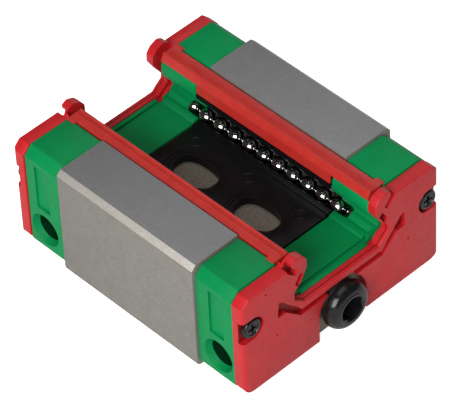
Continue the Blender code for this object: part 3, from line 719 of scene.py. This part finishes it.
def floor_groove(end):
    """The groove across the root of the tongue."""
    top = FLOOR_GROOVE_FLOOR + 1.6
    outline = [
        (-FLOOR_GROOVE_HALF_WIDTH, FLOOR_GROOVE_FLOOR),
        (FLOOR_GROOVE_HALF_WIDTH, FLOOR_GROOVE_FLOOR),
        (FLOOR_GROOVE_HALF_WIDTH, top),
        (-FLOOR_GROOVE_HALF_WIDTH, top),
    ]
    return x_prism("floor_groove", outline, CAP_END - 0.65, CAP_END + 0.1, end)


def guide_pocket(end, side):
    """Room in a cap for the guide that the balls turn round."""
    near, far = sorted(end * x for x in GUIDE_POCKET_X)
    middle = side * (BASE_ROW[0] + GUIDE_POCKET_OFFSET)
    low = (near, middle - GUIDE_POCKET_HALF_WIDTH, GUIDE_POCKET_Z[0])
    high = (far, middle + GUIDE_POCKET_HALF_WIDTH, GUIDE_POCKET_Z[1])
    return block("guide_pocket", low, high)


def build_cap(end_name, end):
    cap = x_prism("end_cap_" + end_name + "_body", cap_outline(), CAP_LOW.x, CAP_END, end)
    bevel(cap, 0.12)
    add(cap, floor_tongue(end))
    tools = [floor_groove(end)]
    for side_name, side in SIDES:
        tools += cap_inside_cutters(end_name, end, side_name, side)
        tools += cap_side_cutters(end, side)
        low = (end * (CAP_LOW.x - 1.0), side * SCREW_Y, SCREW_Z)
        high = (end * (CAP_END + 1.0), side * SCREW_Y, SCREW_Z)
        tools.append(rod("hole", low, high, SCREW_HOLE_RADIUS))
        tools.append(guide_pocket(end, side))
    start = (end * GREASE_PORT_START, 0, PORT_Z)
    tools.append(rod("port", start, (end * 24.0, 0, PORT_Z), GREASE_PORT_RADIUS))
    cut(cap, *tools)
    paint_port_shade(cap, end)
    finish(cap, "carriage", ["end_cap_" + end_name], GREEN)


# ---------------------------------------------------------------- end seals

SEAL_FACE_TOP = 20.5
SEAL_CHAMFER = 1.4
SEAL_CORNER = 1.8
NOTCH_HALF_WIDTH = 5.0
NOTCH_TOP = 10.4
RECESS_RADIUS = 2.15
RECESS_FLOOR = 24.0
LIP_START = 23.4
LIP_SLIT = (24.3, 24.42)
LIP_GAP_FLOOR = 23.8
FACE_GROOVE_FLOOR = 24.15
SEAL_EDGE_RADIUS = 0.75
SEAL_MARGIN = 0.15
DOTS = ((-15.8, 19.0), (-13.8, 9.0), (14.2, 9.0))
DOT_RADIUS = 0.22
DOT_DEPTH = 0.15


def seal_outline():
    """The whole seal with its lip, which has a rounded knob at each corner of the slot's mouth."""
    half = arc((0.0, NOTCH_TOP - NOTCH_HALF_WIDTH), NOTCH_HALF_WIDTH, 90.0, 0.0, 14)
    half += [
        (NOTCH_HALF_WIDTH, SEAL_LOW.z),
        (SEAL_HIGH.y, SEAL_LOW.z, SEAL_CORNER),
        (SEAL_HIGH.y, SEAL_FACE_TOP - SEAL_CHAMFER, 0.25),
        (SEAL_HIGH.y - SEAL_CHAMFER, SEAL_FACE_TOP, 0.25),
        (11.15, SEAL_FACE_TOP),
        (10.9, 21.25, 0.4),
        (9.55, 21.95, 0.7),
        (8.1, 21.35, 0.6),
        (7.25, 20.3, 0.6),
        (7.2, 18.8, 0.5),
        (8.5, 16.5, 0.5),
        (9.95, 15.05, 0.4),
        (9.95, 13.45, 0.4),
        (8.8, 12.6, 0.4),
        (7.9, 11.75, 0.3),
        (0.0, 11.75),
    ]
    return mirrored(half)


def relief_outline():
    """The slot as it is behind the lip, where the seal's body stands back from it."""
    half = [
        (0.0, 11.3),
        (8.6, 11.3),
        (9.4, 12.2),
        (10.7, 12.7),
        (11.3, 13.6),
        (11.2, 16.0),
        (9.5, 17.0),
        (9.4, 18.7),
        (11.0, 20.1),
        (11.0, 23.0),
        (0.0, 23.0),
    ]
    return mirrored(half)


def slit_outline():
    """The thin slit that splits the edge of the lip into two leaves."""
    half = [
        (0.0, 11.2),
        (8.2, 11.2),
        (9.1, 12.05),
        (10.2, 12.75),
        (10.45, 13.4),
        (10.45, 14.7),
        (8.3, 15.9),
        (6.9, 17.0),
        (6.9, 23.0),
        (0.0, 23.0),
    ]
    return mirrored(half)


def face_groove_outline():
    """The groove in the face that sets the lip off, widening to a wedge beside the slot."""
    half = [
        (0.0, 9.4),
        (8.75, 9.45, 0.4),
        (10.4, 10.95, 0.3),
        (11.8, 12.3, 0.3),
        (13.6, 12.35, 0.25),
        (13.3, 15.4, 0.2),
        (12.5, 15.0, 0.2),
        (11.0, 13.3, 0.3),
        (9.6, 11.9, 0.3),
        (8.6, 10.6, 0.3),
        (0.0, 10.6),
    ]
    return mirrored(half)


def lip_gap_outlines():
    """The gaps that free the lip's knob: one beside it, open upwards, and one below it."""
    beside = [
        (11.42, 22.5),
        (11.42, 20.02),
        (9.7, 18.5, 0.2),
        (9.15, 19.2, 0.2),
        (10.4, 20.6, 0.2),
        (10.75, 22.5),
    ]
    below = [(8.75, 18.4, 0.15), (8.0, 17.8, 0.15), (9.1, 15.9, 0.15), (9.85, 16.55, 0.15)]
    return beside, below


def screw_recess(end, side):
    """The seat of an end screw's head, open to the seal's side."""
    reach = SEAL_HIGH.y + 1.0
    outline = arc((SCREW_Y, SCREW_Z), RECESS_RADIUS, 90.0, 270.0, 16)
    outline += [(reach, SCREW_Z - RECESS_RADIUS), (reach, SCREW_Z + RECESS_RADIUS)]
    return x_prism("recess", flipped(outline, side), RECESS_FLOOR, SEAL_HIGH.x + 1.0, end)


def seal_face_cutters(end):
    """The grooves, gaps, screw seats and small moulding dots of the seal's face."""
    beyond = SEAL_HIGH.x + 1.0
    tools = [x_prism("groove", face_groove_outline(), FACE_GROOVE_FLOOR, beyond, end)]
    for side in (1, -1):
        for gap in lip_gap_outlines():
            tools.append(x_prism("gap", flipped(gap, side), LIP_GAP_FLOOR, beyond, end))
        tools.append(screw_recess(end, side))
        start = (end * (SEAL_LOW.x - 1.0), side * SCREW_Y, SCREW_Z)
        stop = (end * beyond, side * SCREW_Y, SCREW_Z)
        tools.append(rod("hole", start, stop, SCREW_HOLE_RADIUS))
        tools.append(corner_cutter(end, side))
    for y, z in DOTS:
        start = (end * (SEAL_HIGH.x - DOT_DEPTH), y, z)
        tools.append(rod("dot", start, (end * beyond, y, z), DOT_RADIUS, None, 16))
    return tools


def seal_back_cutters(end):
    """Room for the backing plate and the cap's tongue, and the slot behind the lip."""
    half = PLATE_HIGH.y + SEAL_MARGIN
    top = PLATE_HIGH.z + SEAL_MARGIN
    low_x, high_x = sorted((end * (SEAL_LOW.x - 1.0), end * (PLATE_HIGH.x + SEAL_MARGIN)))
    tools = [block("plate_pocket", (low_x, -half, -1.0), (high_x, half, top))]
    low_x, high_x = sorted((end * (SEAL_LOW.x - 1.2), end * (CAP_HIGH.x + SEAL_MARGIN)))
    half = TONGUE_HALF_WIDTH + SEAL_MARGIN
    tools.append(block("tongue_room", (low_x, -half, top - 1.0), (high_x, half, 14.0)))
    tools.append(x_prism("relief", relief_outline(), SEAL_LOW.x - 0.8, LIP_START, end))
    tools.append(x_prism("slit", slit_outline(), *LIP_SLIT, end))
    return tools


def corner_cutter(end, side):
    """Rounds one of the seal's upright outer edges."""
    radius = SEAL_EDGE_RADIUS
    x, y = SEAL_HIGH.x - radius, SEAL_HIGH.y - radius
    outline = arc((x, y), radius + 0.01, 90.0, 0.0, 6)
    outline += [(x + 3.0, y), (x + 3.0, y + 3.0), (x, y + 3.0)]
    return prism("corner", [(end * x, side * y) for x, y in outline], -2.0, 30.0, "z")


def paint_groove_shade(seal):
    """The floors of the grooves, gaps and screw seats get a deeper red, a painted shade."""
    seal.data.materials.append(RED)
    seal.data.materials.append(GROOVE_SHADE_RED)
    for polygon in seal.data.polygons:
        depth = SEAL_HIGH.x - abs(polygon.center.x) / MM
        outward = polygon.normal.x * polygon.center.x > 0
        # floors of the recesses in the seal's face take the painted shade
        if outward and abs(polygon.normal.x) > 0.95 and 0.4 < depth < 1.4:
            polygon.material_index = 1


def build_seal(end_name, end):
    seal = x_prism("end_seal_" + end_name + "_body", seal_outline(), SEAL_LOW.x, SEAL_HIGH.x, end)
    bevel(seal, 0.13, segments=3)
    cut(seal, *seal_back_cutters(end), *seal_face_cutters(end))
    paint_groove_shade(seal)
    finish(seal, "carriage", ["end_seal_" + end_name], RED)


def build_backing_plate(end_name, end):
    low, high = box_mm("seal_backing_plate_" + end_name)
    outline = [
        (low.y, low.z, 0.6),
        (high.y, low.z, 0.6),
        (high.y, high.z, 0.6),
        (low.y, high.z, 0.6),
    ]
    plate = prism("backing_plate_" + end_name, outline, low.x, high.x)
    bevel(plate, 0.08)
    start = (end * 21.0, 0, PORT_Z)
    cut(plate, rod("hole", start, (end * 25.0, 0, PORT_Z), GREASE_PORT_RADIUS))
    finish(plate, "carriage", ["seal_backing_plate_" + end_name], PLATED)


# ---------------------------------------------------------------- fasteners

HEAD_HEIGHT = 0.95
HEAD_EDGE = 0.35
HEAD_DISH = 0.12
SHANK_RADIUS = 1.2
# half width, half height and depth of the two arms of a cross recess
CROSS_ARMS = ((1.0, 0.27, 0.61), (0.26, 1.01, 0.64))


def cross_arm(face_x, end, side, half_width, half_height, depth):
    """One arm of a cross recess: a slot that narrows towards its floor."""
    shape = bmesh.new()
    rings = []
    for share, x in ((1.15, face_x + end * 0.4), (0.5, face_x - end * depth)):
        ring = []
        for sign_y, sign_z in ((-1, -1), (1, -1), (1, 1), (-1, 1)):
            y = sign_y * half_width * share
            z = sign_z * half_height * share
            ring.append(shape.verts.new(Vector((x, side * SCREW_Y + y, SCREW_Z + z)) * MM))
        rings.append(ring)
    for index in range(4):
        following = (index + 1) % 4
        shape.faces.new((rings[0][index], rings[0][following], rings[1][following], rings[1][index]))
    shape.faces.new(rings[0])
    shape.faces.new(rings[1])
    return from_bmesh("cross", shape)


def build_end_screw(end_name, end, side_name, side):
    node = "end_screw_" + end_name + "_" + side_name
    low, high = box_mm(node)
    tip = min(abs(low.x), abs(high.x))
    top = max(abs(low.x), abs(high.x))
    base = top - HEAD_HEIGHT
    radius = (high.y - low.y) / 2
    profile = [(0.0, top - HEAD_DISH), (radius - 0.62, top - HEAD_DISH), (radius - 0.55, top)]
    profile += arc((radius - HEAD_EDGE, top - HEAD_EDGE), HEAD_EDGE, 85.0, 0.0, 6)
    profile += [
        (radius, base + 0.1),
        (radius - 0.1, base),
        (SHANK_RADIUS, base),
        (SHANK_RADIUS, tip + 0.5),
        (0.7, tip),
        (0.0, tip),
    ]
    screw = turned(node + "_body", profile, (0, side * SCREW_Y, SCREW_Z), (end, 0, 0), 48)
    for arm in CROSS_ARMS:
        cut(screw, cross_arm(end * (top - HEAD_DISH), end, side, *arm))
    finish(screw, "carriage", [node], SCREW_BLACK)


HEX_RADIUS = 2.31
HEX_DEPTH = 1.7
HEX_LEAD = 0.22
PLUG_FACE_RADIUS = 2.8
PLUG_SHANK_RADIUS = 2.9
PLUG_RIM_HEIGHT = 0.7
SET_RADIUS = 2.88
SET_CORE = 2.6
SET_PITCH = 0.5


def socket_cutters(face_x, direction):
    """A hexagon socket with a small conical lead-in."""
    bottom = (face_x - direction * HEX_DEPTH, 0, PORT_Z)
    hexagon = rod("hexagon", bottom, (face_x + direction * 0.5, 0, PORT_Z), HEX_RADIUS, None, 6)
    start = (face_x - direction * HEX_LEAD, 0, PORT_Z)
    stop = (face_x + direction * HEX_LEAD, 0, PORT_Z)
    cone = rod("lead", start, stop, HEX_RADIUS - HEX_LEAD, HEX_RADIUS + HEX_LEAD, 48)
    return [hexagon, cone]


def build_plug():
    radius = (PLUG_HIGH.y - PLUG_LOW.y) / 2
    seat = RING_HIGH.x + 0.1
    top = PLUG_HIGH.x
    face = PLUG_FACE_RADIUS
    profile = [(0.0, top), (face - 0.12, top), (face, top - 0.1)]
    bulge = radius - face
    height = top - seat - PLUG_RIM_HEIGHT
    for step in range(1, 13):
        angle = math.radians(90.0 * step / 12)
        x = seat + PLUG_RIM_HEIGHT + height * math.cos(angle) - 0.1
        profile.append((face + bulge * math.sin(angle), x))
    profile += [
        (radius, seat + 0.25),
        (radius - 0.25, seat),
        (PLUG_SHANK_RADIUS, seat),
        (PLUG_SHANK_RADIUS, PLUG_LOW.x + 0.3),
        (PLUG_SHANK_RADIUS - 0.3, PLUG_LOW.x),
        (0.0, PLUG_LOW.x),
    ]
    plug = turned("plug_screw_body", profile, (0, 0, PORT_Z), (1, 0, 0), 96)
    cut(plug, *socket_cutters(top, 1))
    finish(plug, "carriage", ["front_plug_screw"], SCREW_BLACK)


def build_plug_ring():
    outer = (RING_HIGH.y - RING_LOW.y) / 2
    middle = (RING_LOW.x + RING_HIGH.x) / 2
    half = (RING_HIGH.x - RING_LOW.x) / 2
    profile = [(3.0, middle + half - 0.1)]
    profile += arc((outer - half, middle), half, 90.0, -90.0, 10)
    profile += [(3.0, middle - half + 0.1)]
    ring = turned("plug_ring_body", profile, (0, 0, PORT_Z), (1, 0, 0), 64, closed=True)
    finish(ring, "carriage", ["front_plug_sealing_ring"], RING_RUBBER)


def build_set_screw():
    near = abs(SET_HIGH.x)
    far = abs(SET_LOW.x)
    profile = [(0.0, far), (2.4, far), (SET_RADIUS, far - 0.35)]
    turns = int((far - near - 0.9) / SET_PITCH)
    for index in range(turns):
        height = far - 0.45 - index * SET_PITCH
        profile += [(SET_RADIUS, height), (SET_CORE, height - SET_PITCH / 2)]
    profile += [(2.5, near), (0.0, near)]
    screw = turned("set_screw_body", profile, (0, 0, PORT_Z), (-1, 0, 0), 64)
    cut(screw, *socket_cutters(-far, -1))
    finish(screw, "carriage", ["rear_plug_set_screw"], SCREW_BLACK)


# ---------------------------------------------------------------- strips and retainers

STRIP_BAND_HALF_LENGTH = 14.5
TAB_X = (20.9, 22.45)
TAB_Y = (10.6, 11.75)
TAB_Z = (20.72, 20.9)


def strip_outline(side):
    """The strip that closes the gap beside the rail: flat, two fine ribs, a crest and a slope."""
    corners = [
        (11.1, 20.93, 0.1),
        (9.98, 20.93),
        (9.86, 21.1, 0.05),
        (9.74, 20.85),
        (9.62, 20.85),
        (9.5, 21.08, 0.05),
        (9.38, 20.88),
        (9.2, 20.9),
        (9.0, 21.09, 0.1),
        (8.72, 21.06, 0.15),
        (8.1, 19.68, 0.1),
        (8.25, 19.45, 0.08),
        (10.2, 19.45),
        (11.1, 20.15),
    ]
    return flipped(corners, side)


def strip_tab(end, side):
    """The thin tab by which a strip lies on a cap."""
    xs = sorted(end * x for x in TAB_X)
    ys = sorted(side * y for y in TAB_Y)
    return block("tab", (xs[0], ys[0], TAB_Z[0]), (xs[1], ys[1], TAB_Z[1]))


def build_strip(side_name, side):
    strip = prism("strip_" + side_name, strip_outline(side), STRIP_LOW.x, STRIP_HIGH.x)
    band = [(8.12, 19.6), (8.02, 17.85, 0.08), (8.32, 17.85, 0.08), (8.4, 19.6)]
    length = STRIP_BAND_HALF_LENGTH
    tools = [prism("band", flipped(band, side), -length, length)]
    tools += [strip_tab(end, side) for _, end in ENDS]
    add(strip, *tools)
    finish(strip, "carriage", ["bottom_seal_" + side_name], STRIP_RED)


OPENING_X = 6.75
OPENING_HALF_SIZE = (4.1, 2.6)
OPENING_ROUNDNESS = 2.6
GROOVE_DISTANCES = (0.55, 1.15)
GROOVE_WIDTH = 0.16
GROOVE_DEPTH = 0.1
RING_XS = (-11.6, 0.0, 11.6)
RING_YS = (-4.7, 4.7)
RING_RADIUS = 0.95
RING_THICKNESS = 0.14


def opening_outline(centre_x, grow=0.0, steps=64):
    """A rounded oblong, between an ellipse and a rectangle."""
    points = []
    for step in range(steps):
        angle = 2 * math.pi * step / steps
        place = []
        for value, half in zip((math.cos(angle), math.sin(angle)), OPENING_HALF_SIZE):
            share = math.copysign(abs(value) ** (2 / OPENING_ROUNDNESS), value)
            place.append((half + grow) * share)
        points.append((centre_x + place[0], place[1]))
    return points


def retainer_outline():
    half = [(0.0, RETAINER_LOW.z)]
    half += arc(BASE_ROW, RACE_RADIUS, 223.0, 166.0, 8)
    half += [
        (8.15, 12.28),
        (7.3, 12.0, 0.12),
        (7.12, 12.18, 0.12),
        (6.85, 12.18, 0.12),
        (6.6, PLATE_TOP, 0.12),
        (0.0, PLATE_TOP),
    ]
    return mirrored(half)


def groove_ring(centre_x, grow):
    """A closed groove that follows an opening at a distance."""
    floor = PLATE_TOP - GROOVE_DEPTH
    outer = prism("outer", opening_outline(centre_x, grow + GROOVE_WIDTH), floor, 13.0, "z")
    inner = prism("inner", opening_outline(centre_x, grow), floor - 1.0, 14.0, "z")
    return cut(outer, inner)


def build_retainer():
    plate = prism("retainer_plate_body", retainer_outline(), RETAINER_LOW.x, RETAINER_HIGH.x)
    bevel(plate, 0.06)
    tools = []
    for _, end in ENDS:
        x = end * OPENING_X
        tools.append(prism("hole", opening_outline(x), 9.0, 13.0, "z"))
        for distance in GROOVE_DISTANCES:
            tools.append(groove_ring(x, distance))
    for x in RING_XS:
        for y in RING_YS:
            tools.append(torus("ring", (x, y, PLATE_TOP + 0.02), RING_RADIUS, RING_THICKNESS))
    cut(plate, *tools)
    finish(plate, "carriage", ["ball_retainer_plate"], BLACK)


def dress_carried_nodes():
    """CAD nodes whose shape is right keep it, with a finer material."""
    looks = {}
    for side_name, _ in SIDES:
        looks["side_retainer_" + side_name] = BLACK
        looks["mouth_row_keeper_" + side_name] = BLACK
        for row in ROWS:
            looks["return_tube_" + row + "_" + side_name] = GUIDE
        for end_name, _ in ENDS:
            looks["return_guide_" + end_name + "_" + side_name] = GUIDE
    for node, material in looks.items():
        obj = frame["nodes"][node]
        obj.data.materials.clear()
        obj.data.materials.append(material)


# ---------------------------------------------------------------- balls

def balls_mesh(name, centres):
    shape = bmesh.new()
    for centre in centres:
        made = bmesh.ops.create_uvsphere(shape, u_segments=32, v_segments=16, radius=BALL_RADIUS * MM)
        bmesh.ops.translate(shape, verts=made["verts"], vec=Vector(centre) * MM)
    return from_bmesh(name, shape)


def build_circuit(row, side_name):
    name = row + "_" + side_name
    load, back, turns, across = circuit(row, side_name)
    first = -(ROW_BALLS - 1) / 2 * BALL_PITCH
    for part, place in (("load", load), ("return", back)):
        centres = [(first + index * BALL_PITCH, place.y, place.z) for index in range(ROW_BALLS)]
        node = "balls_" + name + "_" + part
        obj = balls_mesh(node + "_set", centres)
        finish(obj, name + "_" + part + "_row", [node], BALL)
    for end_name, end in ENDS:
        centre = turns[end_name]
        radius = (centre - Vector((centre.x, load.y, load.z))).length
        outward = Vector((end, 0.0, 0.0))
        centres = []
        for index in range(TURN_BALLS):
            angle = math.pi * (index + 0.5) / TURN_BALLS
            centres.append(centre + (outward * math.sin(angle) - across * math.cos(angle)) * radius)
        node = "balls_" + name + "_" + end_name + "_turn"
        obj = balls_mesh(node + "_set", centres)
        finish(obj, name + "_" + end_name + "_turn", [node], BALL)


# ---------------------------------------------------------------- stage

LIGHT_DISTANCE = 0.8
FLOOR_GLOW = 0.85
AMBIENT = 0.05


def add_floor():
    """Matt white floor that looks brighter to the camera than to the object above it."""
    shape = bmesh.new()
    bmesh.ops.create_grid(shape, x_segments=1, y_segments=1, size=3.0)
    floor = from_bmesh("floor", shape)
    floor.location.z = (BLOCK_LOW.z - 0.02) * MM
    look = Look("floor_look", 0.75)
    cloud = look.noise(60.0, 2.0)
    look.colour(look.mixed(look.ranged(cloud, 0.0, 1.0), (0.86, 0.86, 0.86), (0.88, 0.88, 0.88)))
    look.shader.inputs["Specular IOR Level"].default_value = 0.1
    glow = look.nodes.new("ShaderNodeMath")
    glow.operation = "MULTIPLY"
    glow.inputs[1].default_value = FLOOR_GLOW
    path = look.nodes.new("ShaderNodeLightPath")
    look.links.new(path.outputs["Is Camera Ray"], glow.inputs[0])
    look.links.new(glow.outputs[0], look.shader.inputs["Emission Strength"])
    look.shader.inputs["Emission Color"].default_value = (1.0, 1.0, 1.0, 1.0)
    floor.data.materials.append(look.material)


def add_softbox(name, direction, size, power):
    """A square area light, in metres and watts, aimed at the middle of the object."""
    target = Vector((0.0, 0.0, 0.01))
    light = bpy.data.lights.new(name, "AREA")
    light.size = size
    light.energy = power
    obj = bpy.data.objects.new(name, light)
    bpy.context.scene.collection.objects.link(obj)
    obj.location = target + Vector(direction).normalized() * LIGHT_DISTANCE
    obj.rotation_euler = Vector(direction).to_track_quat("Z", "Y").to_euler()


def add_world():
    """White for the camera, dim for everything that reflects it."""
    world = bpy.data.worlds.new("studio")
    bpy.context.scene.world = world
    world.use_nodes = True
    nodes = world.node_tree.nodes
    links = world.node_tree.links
    nodes.clear()
    output = nodes.new("ShaderNodeOutputWorld")
    path = nodes.new("ShaderNodeLightPath")
    seen = nodes.new("ShaderNodeBackground")
    seen.inputs["Color"].default_value = (1.0, 1.0, 1.0, 1.0)
    unseen = nodes.new("ShaderNodeBackground")
    unseen.inputs["Color"].default_value = (0.9, 0.95, 1.0, 1.0)
    unseen.inputs["Strength"].default_value = AMBIENT
    mix = nodes.new("ShaderNodeMixShader")
    links.new(path.outputs["Is Camera Ray"], mix.inputs["Fac"])
    links.new(unseen.outputs["Background"], mix.inputs[1])
    links.new(seen.outputs["Background"], mix.inputs[2])
    links.new(mix.outputs["Shader"], output.inputs["Surface"])


CAMERA_PLACE = (0.3102, -0.2802, 0.4205)
CAMERA_ANGLES = (45.45, 2.16, 45.82)
CAMERA_LENS = 305.25


def add_camera():
    camera = bpy.data.cameras.new("camera")
    camera.lens = CAMERA_LENS
    camera.sensor_width = 36.0
    camera.clip_start = 0.01
    obj = bpy.data.objects.new("camera", camera)
    bpy.context.scene.collection.objects.link(obj)
    obj.location = CAMERA_PLACE
    obj.rotation_euler = [math.radians(angle) for angle in CAMERA_ANGLES]
    bpy.context.scene.camera = obj


def build_stage():
    add_floor()
    add_softbox("key", (0.36, -0.78, 0.52), 0.5, 7.8)
    add_softbox("top", (0.0, 0.0, 1.0), 0.6, 1.6)
    add_softbox("back", (-0.3, 0.85, 0.45), 0.5, 1.5)
    add_world()
    add_camera()
    bpy.context.scene.view_settings.view_transform = "Standard"


# ---------------------------------------------------------------- all of it

def build_all():
    build_block()
    build_plug()
    build_plug_ring()
    build_set_screw()
    build_retainer()
    dress_carried_nodes()
    for end_name, end in ENDS:
        build_cap(end_name, end)
        build_seal(end_name, end)
        build_backing_plate(end_name, end)
        for side_name, side in SIDES:
            build_end_screw(end_name, end, side_name, side)
    for side_name, side in SIDES:
        build_strip(side_name, side)
        for row in ROWS:
            build_circuit(row, side_name)
    build_stage()


build_all()
